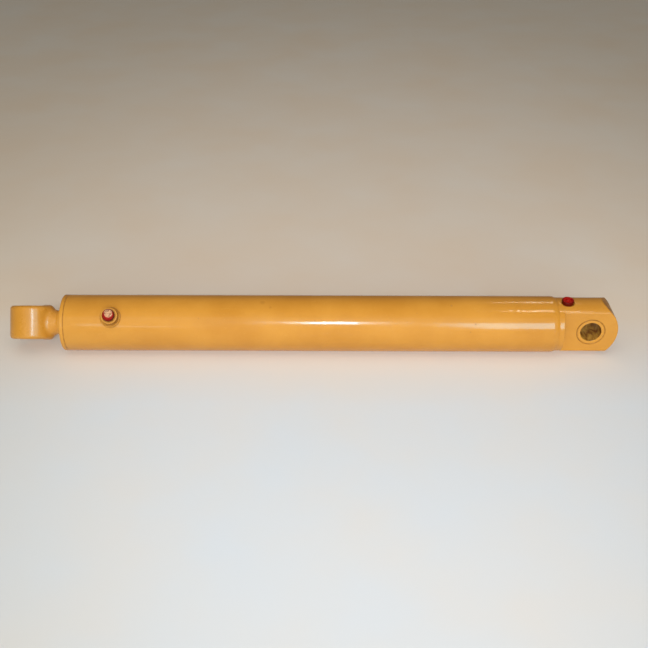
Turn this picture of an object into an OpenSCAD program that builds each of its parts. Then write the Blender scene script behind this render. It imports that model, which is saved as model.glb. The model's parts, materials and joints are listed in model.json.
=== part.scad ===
// Hydraulic cylinder, double acting, welded barrel with a screwed-in gland.
// Origin at the centre of the base pin bore. +X points from the rod towards the
// rounded base end, so everything else lies at negative X. +Z is up.
// Distances called "d" run from the base pin centre towards the rod eye (X = -d).

/* [Barrel] */
// Outside diameter of the barrel tube
tube_od = 139.7; // [136:0.1:150]
// Bore of the barrel tube
tube_bore = 120.65; // [120.65:0.01:120.7]
// Distance between the pin centres with the rod fully in
closed_length = 1384.3; // [1378:0.1:1700]
// Travel of the rod
stroke = 965.2; // [600:0.1:965.2]

/* [Base cap] */
// Diameter of the round cap
cap_od = 133.35; // [130:0.05:136]
// Width across the two flats of the cap
flat_width = 76.2; // [70:0.1:84]
// Radius of the rounded end, which reaches as far past the pin as the cap's own radius
end_radius = 76.2; // [70:0.1:90]
// Distance from the pin centre to the shoulder at the end of the flats
shoulder_d = 70; // [66:0.5:74]
// Distance from the pin centre to the port in the cap
base_port_d = 58.5; // [57:0.5:60]
// Angle of the base port above the horizontal, towards -Y
base_port_angle = 84; // [80:1:100]

/* [Pins and bushings] */
// Bore of both pin bushings
pin_bore = 51; // [50:0.1:54]
// Outside diameter of the base bushing
base_bush_od = 68.6; // [66:0.1:74]
// Outside diameter of the rod eye bushing
eye_bush_od = 63.5; // [60:0.1:66]

/* [Rod] */
// Diameter of the piston rod
rod_od = 63.5; // [63.5:0.1:63.6]
// Diameter of the rod end that carries the piston
spigot_od = 44.3; // [44.2:0.05:44.4]

/* [Rod eye] */
// Outside diameter of the eye's hub
hub_od = 104.8; // [100:0.1:108]
// Length of the hub along its pin
hub_length = 82.5; // [80:0.5:86]
// Rounding of the hub's edges
hub_round = 8; // [4:0.5:9]
// Thickness of the neck across the pin direction
neck_width = 60.4; // [58:0.1:62]
// Angle of the eye's pin from the vertical, leaning towards +Y
eye_turn = 31; // [0:1:90]

/* [Head port] */
// Distance from the pin centre to the head port
head_port_d = 1174; // [1170:0.5:1178]
// Angle of the head port above the horizontal, towards -Y
head_port_angle = 42; // [0:1:90]
// Diameter of the port boss
boss_od = 41.3; // [40:0.1:44]
// Height of the boss face above the tube
boss_rise = 18; // [12:0.5:22]
// Diameter over the weld at the foot of the boss
boss_weld_od = 50.2; // [48:0.1:52]

/* [Ports and plugs] */
// Diameter of the port holes, taken at the thread
port_bore = 25; // [24.5:0.1:25.5]
// Diameter of the oil passages behind the ports
passage_bore = 16; // [10:1:18]
// Diameter of the head of a shipping plug
plug_head_od = 29.4; // [28:0.1:31]
// Height of the head of a shipping plug
plug_head_h = 9.2; // [7:0.1:10]

/* [Hidden] */
$fn = 96;

paint = "#cd913c";
steel = "#a9abad";
chrome = "#d8dade";
seal_dark = "#2b2b2d";
seal_green = "#3f7a63";
wear_brown = "#7a5b3c";
plug_red = "#a01414";

tube_r = tube_od / 2;
bore_r = tube_bore / 2;
cap_r = cap_od / 2;
rod_r = rod_od / 2;
spigot_r = spigot_od / 2;
pin_r = pin_bore / 2;
port_r = port_bore / 2;

// Radial play between a ring and the surface it slides on
slide_play = 0.05;
// Radial play between fixed round pieces that are not pressed together
fixed_play = 0.1;
// Amount by which cutting tools run past the faces that they cut
past = 1;

// Base cap: stations along the axis
ring_end_d = 82.6;
root_d = 88.6;
root_gap = 0.8;
groove_end_d = 96.5;
cap_inner_d = 107.5;
spigot_cap_r = bore_r - 0.125;
root_r = spigot_cap_r + 0.5;
recess_r = 40;
recess_d = 79;
base_seat_r = 64.6;
spot_face_r = 16.5;
port_depth = 22;

// Piston: stations along the axis
piston_rear_d = cap_inner_d + 1;
piston_length = 70;
piston_front_d = piston_rear_d + piston_length;
piston_r = bore_r - 0.325;
nut_length = 24;
nut_rear_d = piston_rear_d - nut_length;
nut_flats = 65;
thread_r = 21;
rod_tail_d = 81.5;
wear_ring_width = 12;
wear_ring_depth = 3;
rear_ring_d = piston_rear_d + 4;
front_ring_d = piston_front_d - 4 - wear_ring_width;
seal_groove_d = 135;
seal_groove_width = 14;
seal_groove_r = 51.5;
seal_cap_r = 57.5;
static_groove_d = 152.5;

// Gland: stations along the axis
nose_d = piston_front_d + stroke + 0.3;
nose_r = 50;
land_d = 1192;
land_r = bore_r - fixed_play;
thread_start_d = 1228;
thread_end_d = 1289.8;
gland_thread_r = 62;
relief_width = 4;
flange_d = 1299.8;
flange_round = 1.6;
gland_bore_r = rod_r + 0.4;
static_ring_d = 1206;
static_ring_width = 8.5;
static_groove_r = 56;
backup_width = 2.4;
inner_wear_d = nose_d + 8;
outer_wear_d = 1222;
gland_wear_width = 20;
gland_wear_r = 35;
buffer_d = 1246;
buffer_width = 7;
buffer_r = 39;
cup_d = 1264;
cup_width = 11;
cup_r = 38.1;
wiper_d = 1288.4;
wiper_width = 6;
wiper_r = 38.1;
wiper_mouth_r = 36.4;
spanner_hole_r = 4.5;
spanner_circle_r = 52;
spanner_depth = 8;

// Rod eye: stations along the axis
eye_d = closed_length;
hub_r = hub_od / 2;
shank_r = 30.2;
weld_rod_d = 1306;
weld_root_d = 1312;
weld_eye_d = 1318;
weld_root_r = 14;
neck_start_d = 1320;
neck_end_d = 1342;
neck_corner = 24;
neck_end_r = 41.2;

// Head port
boss_face_r = tube_r + boss_rise;
boss_r = boss_od / 2;
boss_weld_r = boss_weld_od / 2;
port_side_r = boss_r + fixed_play;

// Turns a profile of [d, r] points about the cylinder's axis.
module turned(points) {
    rotate([0, -90, 0])
        rotate_extrude()
            polygon([for (p = points) [p[1], p[0]]]);
}

// Round ring about the cylinder's axis between two stations and two radii.
module ring(d0, d1, r_in, r_out) {
    turned([[d0, r_in], [d1, r_in], [d1, r_out], [d0, r_out]]);
}

// Solid bar about the cylinder's axis.
module bar(d0, d1, r) {
    translate([-d0, 0, 0])
        rotate([0, -90, 0])
            cylinder(h = d1 - d0, r = r);
}

// Ring of round section about the cylinder's axis.
module round_ring(d, r_mid, r_section) {
    rotate([0, -90, 0])
        translate([0, 0, d])
            rotate_extrude()
                translate([r_mid, 0])
                    circle(r = r_section, $fn = 48);
}

// Places children on a port's axis: the port leaves along the local +Z, and the
// local origin lies on the cylinder's axis.
module at_port(d, angle) {
    translate([-d, 0, 0])
        rotate([90 - angle, 0, 0])
            children();
}

// Places children on the eye's pin axis, along the local Z.
module at_eye() {
    translate([-eye_d, 0, 0])
        rotate([-eye_turn, 0, 0])
            children();
}

module barrel_tube() {
    color(paint)
    difference() {
        turned([
            [root_d + root_gap, bore_r],
            [thread_start_d, bore_r],
            [thread_start_d + 2, gland_thread_r + slide_play],
            [thread_end_d, gland_thread_r + slide_play],
            [thread_end_d, tube_r],
            [groove_end_d, tube_r],
            [root_d + root_gap, root_r + 0.5]
        ]);
        at_port(head_port_d, head_port_angle)
            cylinder(h = tube_r + past, r = port_side_r);
    }
}

module base_cap() {
    color(paint)
    difference() {
        intersection() {
            turned([
                [-cap_r - past, 0],
                [cap_inner_d, 0],
                [cap_inner_d, spigot_cap_r],
                [root_d, spigot_cap_r],
                [root_d, root_r],
                [ring_end_d, cap_r],
                [-cap_r - past, cap_r]
            ]);
            union() {
                // Rounded end
                translate([cap_r - end_radius, 0, 0])
                    rotate([90, 0, 0])
                        cylinder(h = flat_width, r = end_radius, center = true);
                // Length between the pin and the shoulder, between the flats
                translate([-shoulder_d - past, -flat_width / 2, -tube_r])
                    cube([shoulder_d + past, flat_width, tube_od]);
                // Full round beyond the shoulder
                translate([-cap_inner_d - past, -tube_r, -tube_r])
                    cube([cap_inner_d + past - shoulder_d, tube_od, tube_od]);
            }
        }
        rotate([90, 0, 0])
            cylinder(h = flat_width + 2 * past, r = base_bush_od / 2, center = true);
        bar(recess_d, cap_inner_d + past, recess_r);
        bar(base_port_d, recess_d + past, passage_bore / 2);
        at_port(base_port_d, base_port_angle) {
            cylinder(h = cap_r, r = passage_bore / 2);
            translate([0, 0, base_seat_r - port_depth])
                cylinder(h = port_depth + past, r = port_r);
            translate([0, 0, base_seat_r])
                cylinder(h = cap_r - base_seat_r + past, r = spot_face_r);
        }
    }
}

module base_cap_weld() {
    color(paint)
        turned([
            [ring_end_d, cap_r],
            [root_d, root_r],
            [root_d, spigot_cap_r],
            [root_d + root_gap, spigot_cap_r],
            [root_d + root_gap, root_r + 0.5],
            [groove_end_d, tube_r],
            [91.5, 68.2]
        ]);
}

// Pin bushing along the local Z.
module bushing(length, od) {
    rotate_extrude()
        polygon([
            [pin_r, -length / 2 + 0.8],
            [pin_r + 0.8, -length / 2],
            [od / 2, -length / 2],
            [od / 2, length / 2],
            [pin_r + 0.8, length / 2],
            [pin_r, length / 2 - 0.8]
        ]);
}

module base_bushing() {
    color(paint)
        rotate([90, 0, 0])
            bushing(flat_width, base_bush_od);
}

module head_port_boss() {
    color(paint)
    difference() {
        at_port(head_port_d, head_port_angle)
            rotate_extrude()
                polygon([
                    [port_r, 40],
                    [port_r, boss_face_r - 1.5],
                    [port_r + 1.5, boss_face_r],
                    [boss_r - 1, boss_face_r],
                    [boss_r, boss_face_r - 1],
                    [boss_r, 40]
                ]);
        bar(head_port_d - 60, head_port_d + 60, bore_r + 0.05);
    }
}

module head_port_weld() {
    color(paint)
    difference() {
        at_port(head_port_d, head_port_angle)
            rotate_extrude()
                polygon([
                    [boss_r, 55],
                    [boss_weld_r, 55],
                    [boss_weld_r, tube_r - 1.6],
                    [boss_r, tube_r + 3.6]
                ]);
        bar(head_port_d - 60, head_port_d + 60, tube_r);
    }
}

module head_gland() {
    color(paint)
    difference() {
        turned([
            [nose_d, gland_bore_r + 2],
            [nose_d + 2, gland_bore_r],
            [inner_wear_d, gland_bore_r],
            [inner_wear_d, gland_wear_r],
            [inner_wear_d + gland_wear_width, gland_wear_r],
            [inner_wear_d + gland_wear_width, gland_bore_r],
            [outer_wear_d, gland_bore_r],
            [outer_wear_d, gland_wear_r],
            [outer_wear_d + gland_wear_width, gland_wear_r],
            [outer_wear_d + gland_wear_width, gland_bore_r],
            [buffer_d, gland_bore_r],
            [buffer_d, buffer_r],
            [buffer_d + buffer_width, buffer_r],
            [buffer_d + buffer_width, gland_bore_r],
            [cup_d, gland_bore_r],
            [cup_d, cup_r],
            [cup_d + cup_width, cup_r],
            [cup_d + cup_width, gland_bore_r],
            [wiper_d, gland_bore_r],
            [wiper_d, wiper_r],
            [wiper_d + wiper_width, wiper_r],
            [wiper_d + wiper_width, wiper_mouth_r],
            [flange_d, wiper_mouth_r],
            [flange_d, tube_r - flange_round],
            [flange_d - flange_round, tube_r],
            [thread_end_d, tube_r],
            [thread_end_d, gland_thread_r],
            [thread_start_d + relief_width, gland_thread_r],
            [thread_start_d + relief_width, gland_thread_r - 3],
            [thread_start_d, gland_thread_r - 3],
            [thread_start_d, land_r],
            [static_ring_d + static_ring_width, land_r],
            [static_ring_d + static_ring_width, static_groove_r],
            [static_ring_d, static_groove_r],
            [static_ring_d, land_r],
            [land_d + 3, land_r],
            [land_d, land_r - 3],
            [land_d, nose_r],
            [nose_d + 2, nose_r],
            [nose_d, nose_r - 2]
        ]);
        // Blind holes for a pin spanner in the outer face
        for (a = [45:90:315])
            rotate([a, 0, 0])
                translate([0, 0, spanner_circle_r])
                    bar(flange_d - spanner_depth, flange_d + past, spanner_hole_r);
    }
}

module gland_o_ring() {
    section_r = (land_r - static_groove_r) / 2;
    color(seal_dark)
        round_ring(static_ring_d + section_r + 0.2, static_groove_r + section_r, section_r);
}

module gland_backup_ring() {
    ring_d = static_ring_d + static_ring_width - backup_width - 0.2;
    color(seal_green)
        ring(ring_d, ring_d + backup_width, static_groove_r, land_r);
}

module rod_wiper() {
    lip_r = rod_r + slide_play;
    color(seal_dark)
        turned([
            [wiper_d, lip_r + 1.4],
            [wiper_d + wiper_width, lip_r + 1],
            [flange_d + 2, lip_r],
            [flange_d + 2.4, lip_r + 0.8],
            [flange_d, wiper_mouth_r - 0.6],
            [wiper_d + wiper_width, wiper_mouth_r - 0.6],
            [wiper_d + wiper_width, wiper_r],
            [wiper_d, wiper_r]
        ]);
}

module rod_seal() {
    lip_r = rod_r + slide_play;
    color(seal_green)
        turned([
            [cup_d + 0.3, lip_r],
            [cup_d + 0.3, lip_r + 1.2],
            [cup_d + 5, (lip_r + cup_r) / 2],
            [cup_d + 0.3, cup_r - 1.2],
            [cup_d + 0.3, cup_r],
            [cup_d + cup_width, cup_r],
            [cup_d + cup_width, lip_r + 0.2],
            [cup_d + 4, lip_r + 0.2]
        ]);
}

module rod_buffer_seal() {
    color(wear_brown)
        ring(buffer_d + 0.2, buffer_d + buffer_width - 0.2, rod_r + slide_play, buffer_r);
}

// Guide ring in one of the gland's grooves.
module gland_wear_ring(d) {
    color(wear_brown)
        ring(d + 0.2, d + gland_wear_width - 0.2, rod_r + slide_play, gland_wear_r);
}

// Red plastic plug, along the local Z from the face that it sits on: a hollow
// tapered shank below, and a head with a cross bar in its dished top.
module shipping_plug(shank_length) {
    shank_r = port_r - 0.3;
    wall = 2;
    head_h = plug_head_h;
    head_r = plug_head_od / 2;
    dish_r = head_r - 3;
    color(plug_red)
    union() {
        difference() {
            rotate_extrude()
                polygon([
                    [0, -shank_length],
                    [shank_r - 0.9, -shank_length],
                    [shank_r, -1],
                    [shank_r, 0],
                    [head_r, 0],
                    [head_r, head_h - 1],
                    [head_r - 1, head_h],
                    [0, head_h]
                ]);
            translate([0, 0, -shank_length - past])
                cylinder(h = shank_length + past, r = shank_r - 0.9 - wall);
            translate([0, 0, head_h - 2.6])
                cylinder(h = 2.6 + past, r = dish_r);
        }
        translate([-dish_r - 0.5, -1.5, head_h - 3])
            cube([2 * dish_r + 1, 3, 2.2]);
    }
}

module head_port_plug() {
    at_port(head_port_d, head_port_angle)
        translate([0, 0, boss_face_r])
            shipping_plug(13);
}

module base_port_plug() {
    at_port(base_port_d, base_port_angle)
        translate([0, 0, base_seat_r])
            shipping_plug(14);
}

module piston_seal() {
    color(seal_green)
        ring(seal_groove_d + 0.3, seal_groove_d + seal_groove_width - 0.3,
             seal_cap_r, bore_r - slide_play);
}

module piston_seal_energizer() {
    section_r = (seal_cap_r - seal_groove_r - 0.2) / 2;
    color(seal_dark)
        round_ring(seal_groove_d + seal_groove_width / 2, seal_groove_r + 0.1 + section_r, section_r);
}

// Guide ring in one of the piston's grooves.
module piston_wear_ring(d) {
    color(wear_brown)
        ring(d + 0.3, d + wear_ring_width - 0.3,
             piston_r - wear_ring_depth + slide_play, bore_r - slide_play);
}

module piston_rod() {
    color(chrome)
        turned([
            [rod_tail_d, 0],
            [rod_tail_d, thread_r - 2],
            [rod_tail_d + 2, thread_r],
            [piston_rear_d, thread_r],
            [piston_rear_d + 1.2, spigot_r],
            [piston_front_d, spigot_r],
            [piston_front_d, rod_r - 1],
            [piston_front_d + 1, rod_r],
            [weld_rod_d, rod_r],
            [weld_root_d - 0.4, weld_root_r],
            [weld_root_d, weld_root_r],
            [weld_root_d, 0]
        ]);
}

module piston() {
    groove_r = piston_r - wear_ring_depth;
    bore = spigot_r + slide_play;
    color(steel)
        turned([
            [piston_rear_d, bore + 1.5],
            [piston_rear_d + 1.5, bore],
            [static_groove_d, bore],
            [static_groove_d, bore + 3.5],
            [static_groove_d + 4.6, bore + 3.5],
            [static_groove_d + 4.6, bore],
            [piston_front_d, bore],
            [piston_front_d, piston_r - 1.5],
            [piston_front_d - 1.5, piston_r],
            [front_ring_d + wear_ring_width, piston_r],
            [front_ring_d + wear_ring_width, groove_r],
            [front_ring_d, groove_r],
            [front_ring_d, piston_r],
            [seal_groove_d + seal_groove_width, piston_r],
            [seal_groove_d + seal_groove_width, seal_groove_r],
            [seal_groove_d, seal_groove_r],
            [seal_groove_d, piston_r],
            [rear_ring_d + wear_ring_width, piston_r],
            [rear_ring_d + wear_ring_width, groove_r],
            [rear_ring_d, groove_r],
            [rear_ring_d, piston_r],
            [piston_rear_d + 1.5, piston_r],
            [piston_rear_d, piston_r - 1.5]
        ]);
}

module piston_nut() {
    corner_r = nut_flats / sqrt(3);
    color(steel)
    difference() {
        intersection() {
            translate([-nut_rear_d, 0, 0])
                rotate([0, -90, 0])
                    cylinder(h = nut_length, r = corner_r, $fn = 6);
            turned([
                [nut_rear_d, 0],
                [nut_rear_d, nut_flats / 2],
                [nut_rear_d + 3, corner_r],
                [piston_rear_d, corner_r],
                [piston_rear_d, 0]
            ]);
        }
        bar(nut_rear_d - past, piston_rear_d + past, thread_r);
    }
}

module piston_o_ring() {
    section_r = 1.7;
    color(seal_dark)
        round_ring(static_groove_d + 2.3, spigot_r + slide_play + section_r, section_r);
}

// Outline of the eye's neck, turned about the rod's axis: a straight shank, a
// hollow curve and then a full shoulder that runs into the hub.
module neck_solid() {
    steps = 12;
    flare = [
        for (i = [0:steps])
            let (t = i / steps)
            [neck_start_d + t * (neck_end_d - neck_start_d),
             shank_r + (neck_end_r - shank_r) * (1 - cos(180 * t)) / 2]
    ];
    turned(concat(
        [[weld_root_d + 0.4, 0], [weld_root_d + 0.4, weld_root_r], [weld_eye_d, shank_r]],
        flare,
        [[eye_d, neck_end_r], [eye_d, 0]]
    ));
}

// Section of the neck across the rod: as wide as the hub along the pin and
// neck_width across it, with round corners.
module neck_section() {
    half_p = hub_length / 2;
    half_q = neck_width / 2;
    rotate([0, -90, 0])
        translate([0, 0, weld_root_d - past])
            linear_extrude(height = eye_d - weld_root_d + past)
                union() {
                    square([2 * (half_p - neck_corner), 2 * half_q], center = true);
                    square([2 * half_p, 2 * (half_q - neck_corner)], center = true);
                    for (sp = [-1, 1], sq = [-1, 1])
                        translate([sp * (half_p - neck_corner), sq * (half_q - neck_corner)])
                            circle(r = neck_corner);
                }
}

// Hub of the eye along the local Z, with rounded edges.
module hub_solid() {
    half = hub_length / 2;
    steps = 8;
    corner = [
        for (i = [0:steps])
            let (a = 90 * i / steps)
            [hub_r - hub_round + hub_round * cos(a), half - hub_round + hub_round * sin(a)]
    ];
    rotate_extrude()
        polygon(concat(
            [[0, -half]],
            [for (i = [steps:-1:0]) [corner[i][0], -corner[i][1]]],
            corner,
            [[0, half]]
        ));
}

module rod_eye() {
    color(paint)
    difference() {
        union() {
            at_eye() hub_solid();
            intersection() {
                neck_solid();
                rotate([-eye_turn, 0, 0]) neck_section();
            }
        }
        at_eye()
            cylinder(h = hub_length + 2 * past, r = eye_bush_od / 2, center = true);
    }
}

module rod_eye_weld() {
    color(paint)
        turned([
            [weld_root_d - 0.4, weld_root_r],
            [weld_root_d + 0.4, weld_root_r],
            [weld_eye_d, shank_r],
            [weld_root_d, rod_r + 0.5],
            [weld_rod_d, rod_r]
        ]);
}

module rod_eye_bushing() {
    color(paint)
        at_eye() bushing(hub_length, eye_bush_od);
}

barrel_tube();
base_cap();
base_cap_weld();
base_bushing();
head_port_boss();
head_port_weld();
head_gland();
gland_o_ring();
gland_backup_ring();
rod_wiper();
rod_seal();
rod_buffer_seal();
gland_wear_ring(outer_wear_d);  // gland_wear_ring_outer
gland_wear_ring(inner_wear_d);  // gland_wear_ring_inner
head_port_plug();
base_port_plug();
piston_seal();
piston_seal_energizer();
piston_wear_ring(front_ring_d);  // piston_wear_ring_front
piston_wear_ring(rear_ring_d);  // piston_wear_ring_rear
piston_rod();
piston();
piston_nut();
piston_o_ring();
rod_eye();
rod_eye_weld();
rod_eye_bushing();
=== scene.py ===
"""Looks of the hydraulic cylinder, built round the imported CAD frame.

Shapes are in millimetres until a mesh is placed; materials, lamps and the camera
are in metres. "d" is a distance in mm along the barrel from the base pin towards
the rod eye, so X = -d.
"""
import json
import math

import bmesh
import bpy
import numpy as np
from mathutils import Matrix, Vector


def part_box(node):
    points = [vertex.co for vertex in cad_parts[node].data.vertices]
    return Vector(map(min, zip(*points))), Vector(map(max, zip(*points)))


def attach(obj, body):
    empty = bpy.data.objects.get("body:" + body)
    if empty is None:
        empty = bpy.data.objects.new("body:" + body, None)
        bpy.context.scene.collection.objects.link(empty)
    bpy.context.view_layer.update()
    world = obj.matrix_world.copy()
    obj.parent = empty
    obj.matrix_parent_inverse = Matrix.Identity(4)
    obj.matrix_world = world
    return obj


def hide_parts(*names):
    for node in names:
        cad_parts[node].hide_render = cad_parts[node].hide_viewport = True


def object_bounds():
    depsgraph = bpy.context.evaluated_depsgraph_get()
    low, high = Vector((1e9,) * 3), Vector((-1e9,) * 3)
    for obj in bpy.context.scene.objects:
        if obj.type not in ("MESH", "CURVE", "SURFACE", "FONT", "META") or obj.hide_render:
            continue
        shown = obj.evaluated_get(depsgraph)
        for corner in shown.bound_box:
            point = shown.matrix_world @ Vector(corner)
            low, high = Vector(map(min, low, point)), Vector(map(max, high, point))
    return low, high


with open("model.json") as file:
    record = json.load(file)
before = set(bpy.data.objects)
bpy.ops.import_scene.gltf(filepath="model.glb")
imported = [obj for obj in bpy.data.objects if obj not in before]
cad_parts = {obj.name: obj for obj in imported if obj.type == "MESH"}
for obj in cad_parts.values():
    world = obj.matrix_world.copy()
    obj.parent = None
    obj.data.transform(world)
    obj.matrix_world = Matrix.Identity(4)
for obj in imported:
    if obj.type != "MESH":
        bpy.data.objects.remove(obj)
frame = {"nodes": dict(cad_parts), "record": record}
cad_low, cad_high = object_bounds()

MM = 0.001
MOUNTS = {m["name"]: m for m in frame["record"]["mounts"]}


# ---------------------------------------------------------------- sizes

def span(node, axis):
    """Lowest and highest coordinate of a CAD node along one axis, in mm."""
    low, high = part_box(node)
    return low[axis] / MM, high[axis] / MM


def station(node):
    """Where a CAD node starts and ends along the barrel, as distances d."""
    low, high = span(node, 0)
    return -high, -low


def mount_place(name):
    """Centre in mm and unit axis of a mount."""
    mount = MOUNTS[name]
    return Vector(mount["pos_m"]) / MM, Vector(mount["axis"]).normalized()


TUBE_START, TUBE_END = station("barrel_tube")
TUBE_R = span("barrel_tube", 2)[1]
CAP_R = span("base_cap", 0)[1]
CAP_END = station("base_cap")[1]
FLAT_HALF = span("base_bushing", 1)[1]
WELD_START, WELD_END = station("base_cap_weld")
BASE_BUSH_R = span("base_bushing", 2)[1]
GLAND_START, GLAND_END = station("head_gland")
ROD_TAIL = station("piston_rod")[0]
EYE_WELD_START, EYE_WELD_END = station("rod_eye_weld")
ROD_R = span("piston_rod", 2)[1]
PISTON_REAR, PISTON_FRONT = station("piston")
PIN_R = MOUNTS["base_pin_bore"]["dims"]["r_mm"]
PORT_R = MOUNTS["head_oil_port"]["dims"]["r_mm"]
PORT_DEPTH = MOUNTS["head_oil_port"]["dims"]["length_mm"]
EYE_CENTRE, EYE_AXIS = mount_place("rod_pin_bore")
HUB_HALF = MOUNTS["rod_pin_bore"]["dims"]["length_mm"] / 2
HUB_R = station("rod_eye")[1] + EYE_CENTRE.x
HEAD_PORT, HEAD_PORT_AXIS = mount_place("head_oil_port")
BASE_PORT, BASE_PORT_AXIS = mount_place("base_oil_port")
BOSS_R = (station("head_port_boss")[1] - station("head_port_boss")[0]) / 2
PLUG_R = (station("head_port_plug")[1] - station("head_port_plug")[0]) / 2

BOSS_RISE = math.hypot(HEAD_PORT.y, HEAD_PORT.z) - TUBE_R

# Steps and hidden faces that the frame's boxes don't give
BORE_R = 60.325
END_R = 76.2
SHOULDER_D = 70
RECESS_D = 79
RECESS_R = 40
CAP_BEVEL = 6
CAP_SPIGOT_R = BORE_R - 0.125
PASSAGE_R = 8
SPOT_FACE_R = 16.5
GLAND_LAND_D = 1192
GLAND_NOSE_R = 50
WIPER_SEAT_R = 38.1
WIPER_MOUTH_R = 36.4
SPANNER_CIRCLE_R = 52
SPANNER_HOLE_R = 4.5
SPANNER_DEPTH = 8
ROD_THREAD_R = 21
ROD_SPIGOT_R = 22.15
EYE_BUSH_R = 31.75
HUB_ROUND = 8
SHANK_R = 30.2
FLARE_LENGTH = 22
WELD_ROOT_R = 14
WELD_BEVEL = 5.6
PLUG_HEIGHT = 9.2


# ---------------------------------------------------------------- mesh tools

def axis_frame(centre, axis):
    """Matrix from local space, with Z along an axis, to the row frame, in mm."""
    side = Vector((1, 0, 0)) if abs(axis.x) < 0.9 else Vector((0, 0, 1))
    across = axis.cross(side).normalized()
    side = across.cross(axis).normalized()
    turn = Matrix((side, across, axis)).transposed().to_4x4()
    return Matrix.Translation(centre) @ turn


BARREL = axis_frame(Vector((0, 0, 0)), Vector((-1, 0, 0)))
BASE_PIN = axis_frame(Vector((0, 0, 0)), Vector((0, 1, 0)))
EYE_PIN = axis_frame(EYE_CENTRE, EYE_AXIS)


def rounded(points, steps=4):
    """A closed outline in which every (u, v, radius) corner becomes an arc."""
    outline = []
    for i, point in enumerate(points):
        here = Vector(point[:2])
        radius = point[2] if len(point) > 2 else 0
        if radius == 0:
            outline.append(tuple(here))
            continue
        before = (Vector(points[i - 1][:2]) - here).normalized()
        after = (Vector(points[(i + 1) % len(points)][:2]) - here).normalized()
        half = before.angle(after) / 2
        reach = radius / math.tan(half)
        centre = here + (before + after).normalized() * radius / math.sin(half)
        first = here + before * reach - centre
        last = here + after * reach - centre
        sweep = first.angle_signed(last)
        for k in range(steps + 1):
            arm = first.copy()
            arm.rotate(Matrix.Rotation(-sweep * k / steps, 2))
            outline.append(tuple(centre + arm))
    return outline


def turn_outline(outline, segments, ripple=None):
    """Vertices and faces of a closed (z, r) outline turned about local Z."""
    angles = np.arange(segments) * 2 * math.pi / segments
    vertices = []
    rings = []
    for index, (along, radius) in enumerate(outline):
        if radius == 0:
            rings.append([len(vertices)])
            vertices.append((0.0, 0.0, along))
            continue
        radii = np.full(segments, float(radius))
        if ripple is not None:
            radii += ripple(angles, along, radius)
        start = len(vertices)
        rings.append(list(range(start, start + segments)))
        vertices += zip(radii * np.cos(angles), radii * np.sin(angles), [along] * segments)
    faces = []
    for a, b in zip(rings, rings[1:] + rings[:1]):
        for k in range(segments):
            n = (k + 1) % segments
            if len(a) > 1 and len(b) > 1:
                faces.append((a[k], a[n], b[n], b[k]))
            elif len(a) > 1:
                faces.append((a[k], a[n], b[0]))
            elif len(b) > 1:
                faces.append((a[0], b[n], b[k]))
    return np.array(vertices), faces


def surface_net(field, low, high, cell, passes=3):
    """Vertices and quads of the surface where field(x, y, z) = 0.

    One vertex is made in each cell that the surface crosses, then moved along
    the field's gradient until it lies on the surface.
    """
    low = np.array(low, float)
    counts = np.ceil((np.array(high) - low) / cell).astype(int) + 1
    axes = [low[i] + cell * np.arange(counts[i]) for i in range(3)]
    values = field(*np.meshgrid(*axes, indexing="ij"))
    cells = counts - 1
    total = np.zeros((cells.prod(), 3))
    hits = np.zeros(cells.prod())
    edge_cells = []
    for axis in range(3):
        head = [slice(None)] * 3
        tail = [slice(None)] * 3
        head[axis] = slice(0, -1)
        tail[axis] = slice(1, None)
        start, end = values[tuple(head)], values[tuple(tail)]
        found = np.argwhere((start < 0) != (end < 0))
        others = [a for a in range(3) if a != axis]
        keep = np.ones(len(found), bool)
        for other in others:
            keep &= (found[:, other] > 0) & (found[:, other] < cells[other])
        found = found[keep]
        s = start[tuple(found.T)]
        e = end[tuple(found.T)]
        points = low + cell * found.astype(float)
        points[:, axis] += cell * s / (s - e)
        around = []
        for step_a, step_b in ((0, 0), (-1, 0), (-1, -1), (0, -1)):
            index = found.copy()
            index[:, others[0]] += step_a
            index[:, others[1]] += step_b
            flat = np.ravel_multi_index(index.T, cells)
            np.add.at(total, flat, points)
            np.add.at(hits, flat, 1)
            around.append(flat)
        quads = np.stack(around, 1)
        flip = (s < 0) == (axis == 1)
        quads[flip] = quads[flip][:, ::-1]
        edge_cells.append(quads)
    quads = np.concatenate(edge_cells)
    used = np.flatnonzero(hits)
    vertices = total[used] / hits[used][:, None]
    number = np.full(len(hits), -1)
    number[used] = np.arange(len(used))
    quads = number[quads]
    for _ in range(passes):
        vertices = to_surface(field, relaxed(vertices, quads), cell)
    return to_surface(field, vertices, cell), quads


def relaxed(vertices, quads):
    """Each vertex moved halfway to the mean of its neighbours."""
    total = np.zeros_like(vertices)
    hits = np.zeros(len(vertices))
    for k in range(4):
        a, b = quads[:, k], quads[:, (k + 1) % 4]
        np.add.at(total, a, vertices[b])
        np.add.at(total, b, vertices[a])
        np.add.at(hits, a, 1)
        np.add.at(hits, b, 1)
    return (vertices + total / hits[:, None]) / 2


def to_surface(field, vertices, cell):
    """Vertices moved along the field's gradient onto its zero surface."""
    step = 0.02
    for _ in range(3):
        value = field(*vertices.T)
        slope = np.empty_like(vertices)
        for axis in range(3):
            offset = np.zeros(3)
            offset[axis] = step
            slope[:, axis] = field(*(vertices + offset).T) - field(*(vertices - offset).T)
        slope /= 2 * step
        size = np.maximum((slope ** 2).sum(1), 0.05)
        move = slope * (-value / size)[:, None]
        length = np.maximum(np.linalg.norm(move, axis=1), 1e-9)
        move *= np.minimum(1, 0.5 * cell / length)[:, None]
        vertices = vertices + move
    return vertices


def round_cut(a, b, radius):
    """Where both fields are inside, with the shared edge rounded off."""
    corner = np.hypot(np.maximum(radius + a, 0), np.maximum(radius + b, 0))
    return np.minimum(-radius, np.maximum(a, b)) + corner


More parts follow.
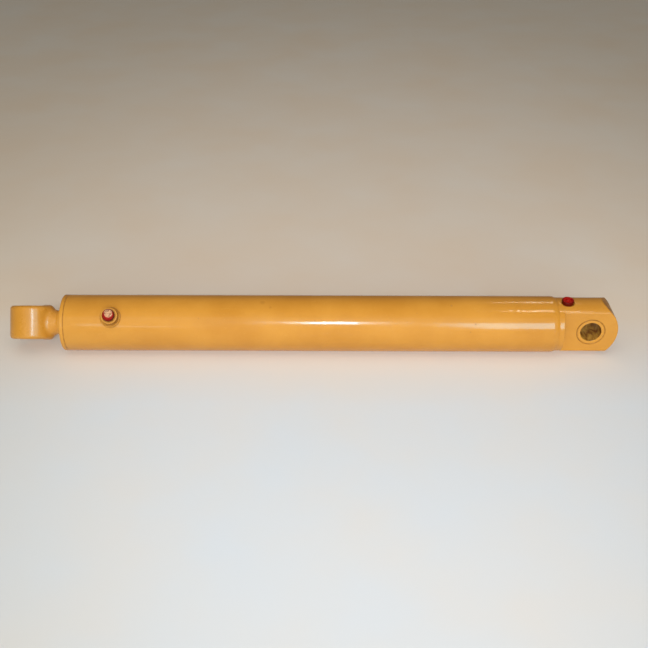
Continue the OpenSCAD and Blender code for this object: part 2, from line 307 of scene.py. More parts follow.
def round_join(a, b, radius):
    """Where either field is inside, with a hollow fillet between the two."""
    corner = np.hypot(np.maximum(radius - a, 0), np.maximum(radius - b, 0))
    return np.maximum(radius, np.minimum(a, b)) - corner


def about_axis(x, y, z, centre, axis):
    """Distance along an axis from its centre, and radius about it."""
    dx, dy, dz = x - centre.x, y - centre.y, z - centre.z
    along = dx * axis.x + dy * axis.y + dz * axis.z
    square = dx * dx + dy * dy + dz * dz - along * along
    return along, np.sqrt(np.maximum(square, 0))


def place(name, vertices, faces, body, node, slot, materials, matrix=None, crease=32):
    """Makes a piece from a mesh in mm, which rides on a body and stands for a node."""
    mesh = bpy.data.meshes.new(name)
    mesh.from_pydata((np.asarray(vertices)).tolist(), [], [tuple(map(int, f)) for f in faces])
    transform = Matrix.Scale(MM, 4)
    if matrix is not None:
        transform = transform @ matrix
    mesh.transform(transform)
    work = bmesh.new()
    work.from_mesh(mesh)
    bmesh.ops.remove_doubles(work, verts=work.verts, dist=1e-7)
    bmesh.ops.recalc_face_normals(work, faces=work.faces)
    work.to_mesh(mesh)
    work.free()
    mesh.shade_smooth()
    mesh.set_sharp_from_angle(angle=math.radians(crease))
    for material in materials:
        mesh.materials.append(material)
    piece = bpy.data.objects.new(name, mesh)
    bpy.context.scene.collection.objects.link(piece)
    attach(piece, body)
    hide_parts(node)
    return piece


def drill(piece, centre, axis, radius, depth):
    """Cuts a round hole into a piece, from a point inwards along an axis."""
    vertices, faces = turn_outline([(-depth, 0), (-depth, radius), (5, radius), (5, 0)], 96)
    mesh = bpy.data.meshes.new("cutter")
    mesh.from_pydata(vertices.tolist(), [], faces)
    mesh.transform(Matrix.Scale(MM, 4) @ axis_frame(centre, axis))
    work = bmesh.new()
    work.from_mesh(mesh)
    bmesh.ops.recalc_face_normals(work, faces=work.faces)
    work.to_mesh(mesh)
    work.free()
    cutter = bpy.data.objects.new("cutter", mesh)
    bpy.context.scene.collection.objects.link(cutter)
    cut = piece.modifiers.new("cut", "BOOLEAN")
    cut.operation = "DIFFERENCE"
    cut.solver = "EXACT"
    cut.object = cutter
    graph = bpy.context.evaluated_depsgraph_get()
    result = bpy.data.meshes.new_from_object(piece.evaluated_get(graph))
    piece.modifiers.remove(cut)
    piece.data = result
    bpy.data.objects.remove(cutter)
    piece.data.shade_smooth()
    piece.data.set_sharp_from_angle(angle=math.radians(32))


# ---------------------------------------------------------------- materials

class Shader:
    """A small helper that adds nodes to one Principled material."""

    def __init__(self, name, roughness=0.5, metallic=0.0):
        self.material = bpy.data.materials.new(name)
        self.material.use_nodes = True
        self.tree = self.material.node_tree
        self.surface = self.tree.nodes["Principled BSDF"]
        self.surface.inputs["Roughness"].default_value = roughness
        self.surface.inputs["Metallic"].default_value = metallic
        self.place = self.node("ShaderNodeTexCoord").outputs["Object"]

    def node(self, kind, **settings):
        made = self.tree.nodes.new(kind)
        for key, value in settings.items():
            setattr(made, key, value)
        return made

    def link(self, output, target):
        self.tree.links.new(output, target)

    def stretched(self, scale):
        """Object coordinates scaled along each axis."""
        made = self.node("ShaderNodeMapping")
        made.inputs["Scale"].default_value = scale
        self.link(self.place, made.inputs["Vector"])
        return made.outputs["Vector"]

    def noise(self, scale, detail=3.0, roughness=0.5, where=None, distortion=0.0):
        made = self.node("ShaderNodeTexNoise")
        made.inputs["Scale"].default_value = scale
        made.inputs["Detail"].default_value = detail
        made.inputs["Roughness"].default_value = roughness
        made.inputs["Distortion"].default_value = distortion
        self.link(where or self.place, made.inputs["Vector"])
        return made.outputs["Fac"]

    def ramp(self, value, low, high, start=0.0, end=1.0):
        """Value mapped from low..high to start..end and kept inside."""
        made = self.node("ShaderNodeMapRange", clamp=True)
        made.inputs["From Min"].default_value = low
        made.inputs["From Max"].default_value = high
        made.inputs["To Min"].default_value = start
        made.inputs["To Max"].default_value = end
        self.link(value, made.inputs["Value"])
        return made.outputs["Result"]

    def math(self, kind, a, b=None):
        made = self.node("ShaderNodeMath", operation=kind)
        for socket, value in zip(made.inputs, (a, b)):
            if value is None:
                continue
            if isinstance(value, (int, float)):
                socket.default_value = value
            else:
                self.link(value, socket)
        return made.outputs["Value"]

    def mix(self, amount, a, b):
        """Colour a where amount is 0 and colour b where it is 1."""
        made = self.node("ShaderNodeMix", data_type="RGBA")
        self.link(amount, made.inputs["Factor"])
        for socket, value in zip((made.inputs[6], made.inputs[7]), (a, b)):
            if isinstance(value, tuple):
                socket.default_value = (*value, 1.0)
            else:
                self.link(value, socket)
        return made.outputs[2]

    def vector(self, kind, a, b, out="Vector"):
        made = self.node("ShaderNodeVectorMath", operation=kind)
        self.link(a, made.inputs[0])
        if b is not None:
            made.inputs[1].default_value = b
        return made.outputs[out]

    def radius(self, centre, axis):
        """Distance in metres from a line through a point in mm."""
        offset = self.vector("SUBTRACT", self.place, tuple(centre * MM))
        across = self.vector("CROSS_PRODUCT", offset, tuple(axis))
        return self.vector("LENGTH", across, None, "Value")

    def distance(self, centre):
        """Distance in metres from a point in mm."""
        return self.vector("DISTANCE", self.place, tuple(centre * MM), "Value")

    def line(self, value, middle, half):
        """1 where a value in metres is within half of middle, both in mm."""
        off = self.math("ABSOLUTE", self.math("SUBTRACT", value, middle * MM))
        return self.ramp(off, 0.4 * half * MM, half * MM, 1.0, 0.0)

    def colour(self, value):
        self.link(value, self.surface.inputs["Base Color"])

    def rough(self, value):
        self.link(value, self.surface.inputs["Roughness"])

    def bump(self, height, strength, distance):
        made = self.node("ShaderNodeBump")
        made.inputs["Strength"].default_value = strength
        made.inputs["Distance"].default_value = distance
        self.link(height, made.inputs["Height"])
        self.link(made.outputs["Normal"], self.surface.inputs["Normal"])


PAINT_DEEP = (0.47, 0.192, 0.021)
PAINT_MAIN = (0.54, 0.234, 0.030)
PAINT_PALE = (0.62, 0.33, 0.070)
# Dirt colour, which is also painted as shade on the top of the cap's rounded end
DIRT_AND_SHADE = (0.26, 0.10, 0.014)


def on_tube(d, elevation):
    """Point in mm on the outside of the tube, at an angle above -Y."""
    turn = math.radians(elevation)
    return Vector((-d, -TUBE_R * math.cos(turn), TUBE_R * math.sin(turn)))


# Worn places on the tube: distance d, elevation, radius in mm, strength
SMUDGES = (
    (288, 29.8, 3.2, 0.9), (300, 14, 3.0, 0.55), (345, 70, 4.5, 0.5), (806, 77, 9.0, 0.3),
    (786, 64, 5.0, 0.3), (677, 36, 2.2, 0.4), (430, 52, 2.0, 0.5), (960, 40, 2.5, 0.4),
)


def seam_dirt_and_end_shade(s):
    """How dirty the paint is at its joints, from 0 to 1, together with painted shade on the top
    of the cap's rounded end.
    """
    along = s.vector("DOT_PRODUCT", s.place, (-1.0, 0.0, 0.0), "Value")
    height = s.vector("DOT_PRODUCT", s.place, (0.0, 0.0, 1.0), "Value")
    above = s.vector("DOT_PRODUCT", s.place, tuple(BASE_PORT_AXIS), "Value")
    pin = s.radius(Vector((0, 0, 0)), Vector((0, 1, 0)))
    head = s.radius(HEAD_PORT, HEAD_PORT_AXIS)
    port = s.radius(BASE_PORT, BASE_PORT_AXIS)
    near_base = s.ramp(along, 78 * MM, 80 * MM, 1.0, 0.0)
    near_head = s.ramp(s.distance(HEAD_PORT), 34 * MM, 38 * MM, 1.0, 0.0)
    upper = s.ramp(above, 55 * MM, 60 * MM)
    # Painted shade: the top of the cap's rounded end gets the dirt colour and low specular,
    # standing in for the shade it lies in.
    end_radius = s.radius(Vector((CAP_R - END_R, 0, 0)), Vector((0, 1, 0)))
    end = s.ramp(end_radius, (END_R - 0.7) * MM, (END_R - 0.2) * MM)
    end = s.math("MULTIPLY", end, s.ramp(along, -30 * MM, -20 * MM, 1.0, 0.0))
    boss_root = s.line(head, BOSS_R + 4.6, 1.6)
    base_plug = s.math("MULTIPLY", s.line(port, PLUG_R + 0.6, 1.8), near_base)
    seams_and_end_shade = (
        s.math("MULTIPLY", s.line(pin, BASE_BUSH_R, 2.4), near_base),
        s.math("MULTIPLY", end, s.ramp(height, 25 * MM, 40 * MM)),
        s.math("MULTIPLY", s.line(head, BOSS_R + 0.6, 2.2), near_head),
        s.math("MULTIPLY", boss_root, s.math("MULTIPLY", near_head, 0.6)),
        s.math("MULTIPLY", s.line(head, PLUG_R + 0.8, 2.6), near_head),
        s.math("MULTIPLY", base_plug, upper),
    )
    dirt_and_shade = s.line(along, TUBE_END, 2.0)
    for seam in seams_and_end_shade:
        dirt_and_shade = s.math("MAXIMUM", dirt_and_shade, seam)
    return dirt_and_shade


def painted(name, dullness=0.0):
    """Gloss enamel with orange peel, drag marks, dull patches, dirt in the seams and painted
    shade on the top of the cap's rounded end.
    """
    s = Shader(name)
    broad = s.noise(9.0, 4.0, 0.55)
    base = s.mix(s.ramp(broad, 0.35, 0.7), PAINT_DEEP, PAINT_MAIN)
    fine = s.noise(140.0, 3.0, 0.6)
    base = s.mix(s.ramp(fine, 0.62, 0.85, 0.0, 0.3), base, PAINT_PALE)
    streaks = s.noise(30.0, 6.0, 0.65, s.stretched((0.35, 6.0, 6.0)), 0.4)
    scuffs = s.ramp(streaks, 0.70, 0.78, 0.0, 0.35)
    base = s.mix(scuffs, base, PAINT_PALE)

    patchy = s.ramp(s.noise(90.0, 4.0, 0.6), 0.3, 0.65)
    dirt_and_shade = seam_dirt_and_end_shade(s)
    dirt_and_shade = s.math("MULTIPLY", dirt_and_shade, s.ramp(patchy, 0.0, 1.0, 0.35, 0.95))
    for d, elevation, radius, strength in SMUDGES:
        reach = s.math("ADD", s.distance(on_tube(d, elevation)),
                       s.math("MULTIPLY", s.noise(500.0, 3.0), 0.8 * radius * MM))
        spot = s.ramp(reach, 0.7 * radius * MM, 1.3 * radius * MM, strength, 0.0)
        dirt_and_shade = s.math("MAXIMUM", dirt_and_shade, spot)
    s.colour(s.mix(dirt_and_shade, base, DIRT_AND_SHADE))

    dull = s.ramp(s.noise(26.0, 5.0, 0.6), 0.35, 0.75, 0.12, 0.19)
    worn = s.math("ADD", s.math("MULTIPLY", scuffs, 0.3), s.math("MULTIPLY", dirt_and_shade, 0.35))
    s.rough(s.math("ADD", s.math("ADD", dull, worn), dullness))
    s.link(s.ramp(dirt_and_shade, 0.0, 1.0, 0.5, 0.08), s.surface.inputs["Specular IOR Level"])
    peel = s.noise(420.0, 2.0, 0.5)
    s.bump(peel, 0.2, 0.0001)
    return s.material


def greasy_bore(name):
    """Dark steel bore with rust and old grease."""
    s = Shader(name, 0.4, 0.0)
    patch = s.noise(45.0, 5.0, 0.6, s.stretched((1.0, 0.5, 1.6)), 0.8)
    base = s.mix(s.ramp(patch, 0.38, 0.62), (0.14, 0.040, 0.003), (0.46, 0.24, 0.04))
    s.colour(base)
    s.rough(s.ramp(s.noise(120.0, 3.0), 0.3, 0.7, 0.25, 0.55))
    s.surface.inputs["Specular IOR Level"].default_value = 0.3
    s.bump(s.noise(260.0, 4.0, 0.6), 0.4, 0.0003)
    return s.material


def chromed(name):
    """Ground hard chrome with fine marks round the rod."""
    s = Shader(name, 0.12, 1.0)
    rings = s.noise(900.0, 2.0, 0.5, s.stretched((3.0, 0.05, 0.05)))
    base = s.mix(s.ramp(s.noise(30.0, 3.0), 0.3, 0.7), (0.66, 0.67, 0.69), (0.74, 0.75, 0.76))
    s.colour(base)
    s.rough(s.ramp(rings, 0.3, 0.7, 0.07, 0.16))
    s.bump(rings, 0.12, 0.00002)
    return s.material


def turned_steel(name):
    """Machined steel with feed marks round its axis."""
    s = Shader(name, 0.35, 1.0)
    rings = s.noise(700.0, 3.0, 0.6, s.stretched((4.0, 0.1, 0.1)))
    base = s.mix(s.ramp(s.noise(40.0, 4.0), 0.3, 0.7), (0.36, 0.36, 0.37), (0.5, 0.5, 0.51))
    s.colour(base)
    s.rough(s.ramp(rings, 0.3, 0.7, 0.22, 0.42))
    s.bump(rings, 0.3, 0.00004)
    return s.material


def plug_plastic(name, centre, axis, dusty):
    """Soft red plastic, darker down the side as painted shade; a dusty one has overspray on its
    face, set off upwards so the lower part of the face stays dark red as painted shade.
    """
    s = Shader(name)
    mottle = s.ramp(s.noise(120.0, 4.0, 0.6), 0.3, 0.7)
    base = s.mix(mottle, (0.24, 0.005, 0.003), (0.35, 0.011, 0.006))
    # Painted shade: the rim and side of the head are darkened.
    side = s.ramp(s.radius(centre, axis), (PLUG_R - 2.6) * MM, (PLUG_R - 1.0) * MM)
    base = s.mix(side, base, (0.09, 0.003, 0.0006))
    if dusty:
        # The overspray disc sits above the centre; the uncovered lower part of the face is
        # painted shade.
        dusted = centre + axis.cross(Vector((1, 0, 0))) * 4.5
        dust_clear_of_shade = s.ramp(s.radius(dusted, axis), 9 * MM, 10.5 * MM, 1.0, 0.0)
        dust_clear_of_shade = s.math("MULTIPLY", dust_clear_of_shade, s.math("SUBTRACT", 1.0, side))
        spots = s.ramp(s.noise(190.0, 3.0, 0.6), 0.42, 0.52)
        film = s.mix(spots, (0.22, 0.09, 0.04), (0.58, 0.33, 0.18))
        base = s.mix(s.math("MULTIPLY", dust_clear_of_shade, 0.92), base, film)
    s.colour(base)
    s.surface.inputs["Specular IOR Level"].default_value = 0.12
    s.rough(s.ramp(s.noise(150.0, 3.0), 0.3, 0.7, 0.22, 0.4))
    s.bump(s.noise(300.0, 3.0), 0.25, 0.0001)
    return s.material


def moulded(name, dark, light, rough_low, rough_high, peel=300.0):
    """Moulded rubber or plastic with slight mottling."""
    s = Shader(name)
    s.colour(s.mix(s.ramp(s.noise(70.0, 4.0, 0.6), 0.3, 0.7), dark, light))
    s.rough(s.ramp(s.noise(150.0, 3.0), 0.3, 0.7, rough_low, rough_high))
    s.bump(s.noise(peel, 3.0), 0.25, 0.0001)
    return s.material


PAINT = painted("yellow_enamel")
DULL_PAINT = painted("dull_yellow_enamel", 0.14)
BORE = greasy_bore("greasy_bore")
CHROME = chromed("hard_chrome")
STEEL = turned_steel("turned_steel")
BLACK = moulded("black_nitrile", (0.012, 0.012, 0.013), (0.03, 0.03, 0.032), 0.4, 0.6)
GREEN = moulded("green_urethane", (0.03, 0.15, 0.09), (0.06, 0.23, 0.15), 0.25, 0.4)
BROWN = moulded("fabric_resin", (0.12, 0.06, 0.03), (0.22, 0.13, 0.07), 0.5, 0.7, 800.0)


# ---------------------------------------------------------------- pieces

def build_tube():
    outline = rounded([
        (TUBE_START, BORE_R),
        (TUBE_END, BORE_R),
        (TUBE_END, TUBE_R, 0.2),
        (WELD_END, TUBE_R),
        (TUBE_START, BORE_R + 1),
    ])
    tube = place("barrel_shell", *turn_outline(outline, 256), "barrel", "barrel_tube",
                 "yellow_paint", [PAINT], BARREL)
    drill(tube, HEAD_PORT, HEAD_PORT_AXIS, BOSS_R + 0.1, TUBE_R / 2)
    return tube


def cap_field(x, y, z):
    """The base cap: a bar with two flats, a rounded end, bores and a port."""
    d = -x
    radius = np.hypot(y, z)
    bevel_end = WELD_START + CAP_BEVEL
    stations = (WELD_START, bevel_end, bevel_end + 0.01, CAP_END)
    radii = (CAP_R, CAP_R - CAP_BEVEL, CAP_SPIGOT_R, CAP_SPIGOT_R)
    bar = radius - np.interp(d, stations, radii)
    bar = np.maximum(bar, d - CAP_END)
    beyond = x + END_R - CAP_R
    end = np.hypot(np.maximum(beyond, 0), z) - END_R + 0.5 * np.minimum(beyond, 0)
    body = round_cut(bar, end, 1.0)
    flats = round_join(np.abs(y) - FLAT_HALF, SHOULDER_D - d, 2.0)
    body = round_cut(body, flats, 1.5)
    pin_radius = np.hypot(x, z)
    body = round_cut(body, BASE_BUSH_R - pin_radius, 0.8)
    along, across = about_axis(x, y, z, BASE_PORT, BASE_PORT_AXIS)
    body = np.maximum(body, -np.maximum(radius - RECESS_R, RECESS_D - d))
    body = np.maximum(body, -np.maximum(radius - PASSAGE_R, -BASE_PORT.x - d))
    body = np.maximum(body, -np.maximum(across - PASSAGE_R, -along - BASE_PORT.length))
    body = np.maximum(body, -np.maximum(across - SPOT_FACE_R, -along))
    return round_cut(body, -np.maximum(across - PORT_R, -along - PORT_DEPTH), 0.5)


def build_cap():
    reach = CAP_R + 3
    low = (-CAP_END - 3, -reach, -reach)
    high = (reach, reach, reach)
    mesh = surface_net(cap_field, low, high, 1.15)
    place("base_cap_forging", *mesh, "barrel", "base_cap", "yellow_paint", [PAINT], crease=50)


def bead_ripple(count, height, seed):
    """Radial offsets of a weld bead: overlapping scales with uneven height."""
    rng = np.random.default_rng(seed)
    phases = rng.uniform(0, 2 * math.pi, 3)

    def ripple(angles, along, radius):
        uneven = 0.6 * np.sin(count * angles + 1.5 * np.sin(5 * angles + phases[0]))
        uneven += 0.4 * np.sin(0.5 * count * angles + phases[1])
        sway = 0.35 * np.sin(7 * angles + phases[2])
        return height * (uneven + sway)

    return ripple


def build_cap_weld():
    middle = (WELD_START + WELD_END) / 2
    outline = rounded([
        (WELD_START + 0.4, CAP_R - 0.4),
        (WELD_START + 2.2, CAP_R + 0.5, 1.5),
        (middle, CAP_R + 1.9, 6),
        (WELD_END - 1.5, TUBE_R - 0.5, 1.2),
        (WELD_END + 0.3, TUBE_R - 0.35),
        (TUBE_START + 1, BORE_R + 1),
        (WELD_START + CAP_BEVEL, BORE_R),
    ])
    bead = bead_ripple(118, 0.22, 3)

    def ripple(angles, along, radius):
        inside = WELD_START + 1 < along < WELD_END - 0.5 and radius > CAP_R - 1
        return bead(angles + 0.006 * (along - middle), along, radius) * inside

    place("base_cap_weld_bead", *turn_outline(outline, 944, ripple), "barrel",
          "base_cap_weld", "yellow_paint", [PAINT], BARREL, crease=60)


def build_bushing(name, half, outer, matrix, body, node):
    """A pin bushing whose end faces are painted and whose bore is bare."""
    outline = rounded([
        (-half, PIN_R, 1.2),
        (half, PIN_R, 1.2),
        (half, outer, 0.8),
        (-half, outer, 0.8),
    ])
    piece = place(name, *turn_outline(outline, 160), body, node, "yellow_paint",
                  [PAINT, BORE], matrix)
    for face in piece.data.polygons:
        middle = matrix.inverted() @ (face.center / MM)
        if math.hypot(middle.x, middle.y) < PIN_R + 0.5:
            face.material_index = 1
    return piece


def boss_field(x, y, z):
    """The head port boss: a round bar with its port, which ends at the bore."""
    along, across = about_axis(x, y, z, HEAD_PORT, HEAD_PORT_AXIS)
    radius = np.hypot(y, z)
    body = round_cut(across - BOSS_R, along, 1.2)
    body = round_cut(body, np.maximum(PORT_R - across, PORT_R + 1.2 - across + along), 0.5)
    return np.maximum(body, BORE_R + 0.1 - radius)


def boss_weld_field(x, y, z):
    """Fillet bead that follows the saddle where the boss meets the tube."""
    along, across = about_axis(x, y, z, HEAD_PORT, HEAD_PORT_AXIS)
    radius = np.hypot(y, z)
    side = Vector((1, 0, 0))
    cross = HEAD_PORT_AXIS.cross(side)
    u = x - HEAD_PORT.x
    v = (y - HEAD_PORT.y) * cross.y + (z - HEAD_PORT.z) * cross.z
    angle = np.arctan2(v, u)
    leg = 4.2 + 0.3 * np.sin(52 * angle + 1.2 * np.sin(3 * angle)) + 0.25 * np.sin(4 * angle + 1)
    out = across - BOSS_R
    up = radius - TUBE_R
    bead = np.hypot(np.maximum(out, 0), np.maximum(up, 0)) - leg
    bead = np.maximum(bead, -1.0 - out)
    return np.maximum(bead, -1.0 - up)


def near_port(field, centre, axis, reach, depth, height, cell):
    """Surface net of a field in a box round a port."""
    side = Vector((1, 0, 0))
    tangent = axis.cross(side)
    corners = []
    for across in (-reach, reach):
        for up in (-depth, height):
            for round_tube in (-reach, reach):
                corners.append(centre + side * across + axis * up + tangent * round_tube)
    low = [min(c[i] for c in corners) for i in range(3)]
    high = [max(c[i] for c in corners) for i in range(3)]
    return surface_net(field, low, high, cell)


def build_head_port():
    net_start_r = 54
    depth = BOSS_RISE + TUBE_R - net_start_r
    mesh = near_port(boss_field, HEAD_PORT, HEAD_PORT_AXIS, BOSS_R + 3, depth, 3, 0.75)
    place("head_port_fitting", *mesh, "barrel", "head_port_boss", "yellow_paint", [PAINT],
          crease=50)
    mesh = near_port(boss_weld_field, HEAD_PORT, HEAD_PORT_AXIS, BOSS_R + 7, BOSS_RISE + 8,
                     8 - BOSS_RISE, 0.6)
    place("head_port_weld_bead", *mesh, "barrel", "head_port_weld", "yellow_paint", [PAINT],
          crease=60)


def plug_field(centre, axis, shank):
    """A pushed-in plastic plug: hollow tapered shank and a deeply dished head."""
    def field(x, y, z):
        along, across = about_axis(x, y, z, centre, axis)
        top = round_cut(across - PLUG_R, along - PLUG_HEIGHT, 1.6)
        top = round_cut(top, -along, 0.5)
        dish = np.maximum(across - PLUG_R + 3.6, PLUG_HEIGHT - 4.4 - along)
        top = round_cut(top, -dish, 0.8)
        knob = round_cut(across - 3.8, along - PLUG_HEIGHT + 1.2, 1.0)
        solid = np.minimum(top, np.maximum(knob, PLUG_HEIGHT - 6 - along))
        taper = across - (PORT_R - 0.35) - 0.05 * np.minimum(along, 0)
        stem = round_cut(np.maximum(taper, along - 1), -shank - along, 0.8)
        stem = np.maximum(stem, -np.maximum(across - PORT_R + 3, along + 2))
        return np.minimum(solid, stem)
    return field


def build_plug(name, centre, axis, shank, body, node, dusty):
    field = plug_field(centre, axis, shank)
    mesh = near_port(field, centre, axis, PLUG_R + 2, shank + 2, PLUG_HEIGHT + 2, 0.55)
    material = plug_plastic(name + "_plastic", centre, axis, dusty)
    place(name, *mesh, body, node, "red_plug", [material], crease=50)


def build_gland():
    """The screwed gland, with four blind holes for a pin spanner in its face."""
    bore = ROD_R + 0.4
    wiper_start = GLAND_END - 10
    outline = rounded([
        (GLAND_START, bore + 2),
        (GLAND_START + 2, bore),
        (wiper_start, bore),
        (wiper_start, WIPER_SEAT_R),
        (GLAND_END - 4, WIPER_SEAT_R),
        (GLAND_END - 4, WIPER_MOUTH_R),
        (GLAND_END, WIPER_MOUTH_R, 0.6),
        (GLAND_END, TUBE_R, 1.8),
        (TUBE_END, TUBE_R, 0.2),
        (TUBE_END, BORE_R),
        (GLAND_LAND_D, BORE_R),
        (GLAND_LAND_D, GLAND_NOSE_R),
        (GLAND_START, GLAND_NOSE_R, 1.5),
    ])
    gland = place("gland_head", *turn_outline(outline, 256), "barrel", "head_gland",
                  "yellow_paint", [PAINT], BARREL)
    for angle in (45, 135, 225, 315):
        turn = math.radians(angle)
        arm = Vector((0, -math.cos(turn), math.sin(turn))) * SPANNER_CIRCLE_R
        hole = Vector((-GLAND_END, 0, 0)) + arm
        drill(gland, hole, Vector((-1, 0, 0)), SPANNER_HOLE_R, SPANNER_DEPTH)


def build_wiper():
    start, end = station("rod_wiper")
    lip = ROD_R + 0.05
    body_end = start + 6
    outer = 35.8
    outline = rounded([
        (start, lip + 1.4),
        (body_end, lip + 1, 2),
        (end - 0.4, lip, 0.3),
        (end, lip + 0.8, 0.4),
        (end - 2.4, outer, 0.8),
        (body_end, outer),
        (body_end, WIPER_SEAT_R),
        (start, WIPER_SEAT_R),
    ])
    place("rod_wiper_ring", *turn_outline(outline, 160), "barrel", "rod_wiper",
          "black_nitrile", [BLACK], BARREL)


def build_rod():
    end = EYE_WELD_START
    outline = rounded([
        (ROD_TAIL, 0),
        (ROD_TAIL, ROD_THREAD_R, 2),
        (PISTON_REAR, ROD_THREAD_R),
        (PISTON_REAR + 1.2, ROD_SPIGOT_R),
        (PISTON_FRONT, ROD_SPIGOT_R),
        (PISTON_FRONT, ROD_R, 1),
        (end, ROD_R, 0.5),
        (end + WELD_BEVEL, WELD_ROOT_R),
        (end + 6, WELD_ROOT_R),
        (end + 6, 0),
    ])
    place("chromed_rod", *turn_outline(outline, 192), "rod", "piston_rod", "hard_chrome",
          [CHROME], BARREL)


def eye_field(x, y, z):
    """The rod eye: a rounded hub that a round shank runs into with a hollow flare."""
    d = -x
    along, across = about_axis(x, y, z, EYE_CENTRE, EYE_AXIS)
    side = y * EYE_AXIS.z - z * EYE_AXIS.y
    radius = np.hypot(y, z)
    hub = round_cut(across - HUB_R, np.abs(along) - HUB_HALF, HUB_ROUND)
    t = np.clip((d - EYE_WELD_END - 2) / FLARE_LENGTH, 0, 1)
    flare = SHANK_R + (HUB_HALF - SHANK_R) * (1 - np.cos(math.pi * t)) / 2
    oval = np.hypot(along * SHANK_R / flare, side) - SHANK_R
    root_d = EYE_WELD_END - WELD_BEVEL
    root = radius - (WELD_ROOT_R + (d - root_d) * (SHANK_R - WELD_ROOT_R) / WELD_BEVEL)
    neck = np.maximum(np.maximum(oval, root), np.maximum(root_d - d, d + EYE_CENTRE.x))
    solid = round_join(hub, neck, 6)
    return round_cut(solid, EYE_BUSH_R - across, 0.9)


def build_eye():
    reach = HUB_R + FLARE_LENGTH
    low = (EYE_CENTRE.x - HUB_R - 3, -reach, -reach)
    high = (-EYE_WELD_END + 10, reach, reach)
    mesh = surface_net(eye_field, low, high, 1.1)
    place("rod_eye_forging", *mesh, "rod", "rod_eye", "yellow_paint", [DULL_PAINT], crease=50)


def build_eye_weld():
    start, end = EYE_WELD_START, EYE_WELD_END
    outline = rounded([
        (start, ROD_R - 0.3),
        ((start + end) / 2, ROD_R + 0.45, 5),
        (end, SHANK_R - 0.3),
        (end - WELD_BEVEL, WELD_ROOT_R),
        (start + WELD_BEVEL, WELD_ROOT_R),
    ])
    bead = bead_ripple(60, 0.18, 8)

    def ripple(angles, along, radius):
        inside = start + 1 < along < end - 1 and radius > ROD_R - 1.5
        return bead(angles, along, radius) * inside

    place("rod_eye_weld_bead", *turn_outline(outline, 480, ripple), "rod", "rod_eye_weld",
          "yellow_paint", [PAINT], BARREL, crease=60)


build_tube()
build_cap()
build_cap_weld()
build_bushing("base_bush", FLAT_HALF, BASE_BUSH_R, BASE_PIN, "barrel", "base_bushing")
build_head_port()
build_gland()
build_wiper()
build_rod()
build_eye()
build_eye_weld()
build_bushing("rod_eye_bush", HUB_HALF, EYE_BUSH_R, EYE_PIN, "rod", "rod_eye_bushing")
build_plug("head_plug_cap", HEAD_PORT, HEAD_PORT_AXIS, 13, "head_plug", "head_port_plug", True)
build_plug("base_plug_cap", BASE_PORT, BASE_PORT_AXIS, 14, "base_plug", "base_port_plug", False)

INNER = {
    "piston": STEEL, "piston_nut": STEEL,
    "piston_seal": GREEN, "rod_seal": GREEN, "gland_backup_ring": GREEN,
    "piston_seal_energizer": BLACK, "piston_o_ring": BLACK, "gland_o_ring": BLACK,
    "piston_wear_ring_front": BROWN, "piston_wear_ring_rear": BROWN,
    "gland_wear_ring_outer": BROWN, "gland_wear_ring_inner": BROWN, "rod_buffer_seal": BROWN,
}
for node, material in INNER.items():
    for entry in frame["nodes"][node].material_slots:
        entry.material = material


# ---------------------------------------------------------------- floor, lights, camera

def build_floor():
    """A plain pale floor under the barrel; its colour is painted light, paler and cooler towards
    the front to lift the shade and the orange bounce near the barrel.
    """
    bpy.ops.mesh.primitive_plane_add(size=40, location=(-0.65, 0, -TUBE_R * MM))
    floor = bpy.context.object
    floor.name = "floor"
    s = Shader("pale_floor", 0.9)
    side = s.vector("DOT_PRODUCT", s.place, (0.0, 1.0, 0.0), "Value")
    # Painted light: the front of the floor is paler and cooler than the back.
    base = s.mix(s.ramp(side, -0.25, 0.15), (0.66, 0.69, 0.73), (0.74, 0.60, 0.475))
    cloudy = s.ramp(s.noise(3.0, 3.0), 0.3, 0.7, 0.0, 0.5)
    s.colour(s.mix(cloudy, base, (0.74, 0.67, 0.60)))
    s.surface.inputs["Specular IOR Level"].default_value = 0.1
    floor.data.materials.append(s.material)


ELEVATION = math.radians(31.33)
AZIMUTH = math.radians(0.36)
DISTANCE = 2.437
LENS = 54.3
BACK = Vector((
    math.sin(AZIMUTH) * math.cos(ELEVATION),
    -math.cos(AZIMUTH) * math.cos(ELEVATION),
    math.sin(ELEVATION),
))
RIGHT = Vector((math.cos(AZIMUTH), math.sin(AZIMUTH), 0))
UP = BACK.cross(RIGHT)
AIM_RIGHT = 0.0293
AIM_DOWN = 0.002
AIM = Vector(((cad_low.x + cad_high.x) / 2 + AIM_RIGHT, 0, 0)) - UP * AIM_DOWN
MIDDLE = Vector((-0.65, 0, 0))
SKY = (1.0, 0.94, 0.82)


def build_camera():
    data = bpy.data.cameras.new("camera")
    data.lens = LENS
    data.sensor_width = 36
    data.clip_start = 0.05
    data.clip_end = 60
    camera = bpy.data.objects.new("camera", data)
    turn = Matrix((RIGHT, UP, BACK)).transposed().to_4x4()
    camera.matrix_world = Matrix.Translation(AIM + BACK * DISTANCE) @ turn
    bpy.context.scene.collection.objects.link(camera)
    bpy.context.scene.camera = camera


def add_lamp(name, kind, place_at, back, power, colour, diffuse=True, glossy=True, shadow=True):
    """A lamp whose light travels against the direction "back"."""
    data = bpy.data.lights.new(name, kind)
    data.energy = power
    data.color = colour
    data.use_shadow = shadow
    lamp = bpy.data.objects.new(name, data)
    lamp.location = place_at
    lamp.rotation_mode = "QUATERNION"
    lamp.rotation_quaternion = back.to_track_quat("Z", "Y")
    lamp.visible_diffuse = diffuse
    lamp.visible_glossy = glossy
    bpy.context.scene.collection.objects.link(lamp)
    return data


def add_softbox(name, place_at, target, size, power, colour, **seen):
    """A rectangular lamp of a width and a height that looks from one point at another."""
    data = add_lamp(name, "AREA", place_at, place_at - target, power, colour, **seen)
    data.shape = "RECTANGLE"
    data.size = size[0]
    data.size_y = size[1]


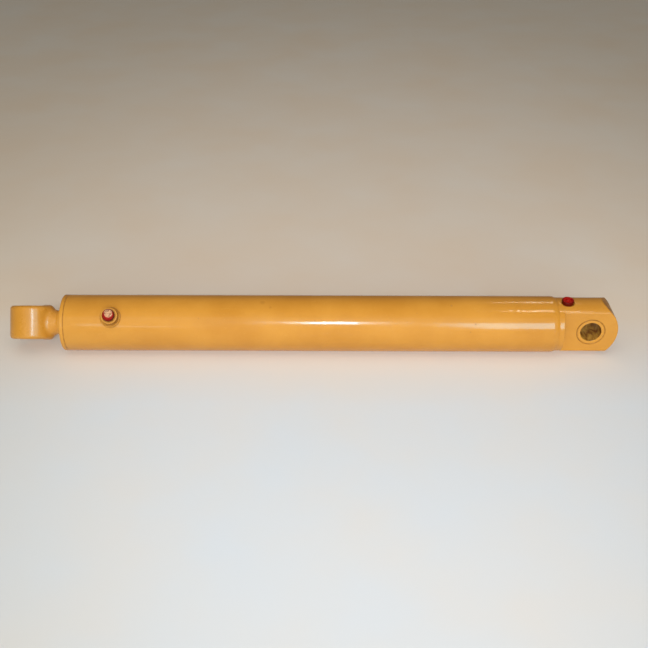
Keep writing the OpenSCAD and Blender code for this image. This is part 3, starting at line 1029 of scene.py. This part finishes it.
def build_lights():
    """Lamps that light the surfaces and lamps that only show up as reflections."""
    eye = AIM + BACK * DISTANCE
    add_softbox("flash", eye + UP * 0.03, AIM, (0.07, 0.07), 18, (0.5, 0.85, 1.0),
                diffuse=False)
    key = add_lamp("key_spot", "SPOT", MIDDLE + BACK * 5.0 + Vector((0.15, 0, 0)), BACK, 456,
                   (0.76, 0.84, 1.0), glossy=False)
    key.spot_size = math.radians(30)
    key.spot_blend = 1.0
    key.shadow_soft_size = 0.25
    bounce = add_lamp("bounce", "SUN", Vector((0, 0, 0)), Vector((0.0, -2.8, 0.65)), 2.2,
                      (0.84, 0.98, 1.0), glossy=False)
    bounce.angle = math.radians(40)
    add_softbox("sky_softbox", Vector((-1.0, -1.0, 3.2)), MIDDLE, (4.6, 4.5), 36, SKY,
                glossy=False)
    add_softbox("sky_fill", Vector((-0.8, -1.9, 2.3)), MIDDLE, (2.6, 2.2), 46, SKY,
                glossy=False, shadow=False)
    add_softbox("window_softbox", Vector((0.41, -2.31, 0.96)), Vector((-0.1, 0, 0)),
                (0.88, 1.0), 19, (0.22, 0.78, 1.0), diffuse=False)
    add_softbox("left_window", Vector((-1.98, -2.35, 0.85)), Vector((-1.25, 0, 0)),
                (0.4, 0.6), 1.5, (0.4, 0.85, 1.0), diffuse=False)
    add_softbox("room_softbox", MIDDLE + Vector((0, -4.5, 1.9)), MIDDLE, (9.0, 6.0), 90,
                (0.8, 0.95, 1.0), diffuse=False)
    for place_at in (Vector((0.38, -0.24, 2.3)), Vector((0.42, 1.8, 2.3))):
        add_softbox("strip", place_at, Vector((place_at.x, 0, 0)), (0.28, 0.04), 1.9,
                    (1.0, 0.95, 0.8), diffuse=False)


def build_world():
    """Faint even light from all round."""
    world = bpy.data.worlds.new("studio")
    bpy.context.scene.world = world
    world.use_nodes = True
    background = world.node_tree.nodes["Background"]
    background.inputs["Color"].default_value = (0.9, 0.88, 0.86, 1)
    background.inputs["Strength"].default_value = 0.12


build_floor()
build_camera()
build_lights()
build_world()
bpy.context.scene.view_settings.view_transform = "Standard"
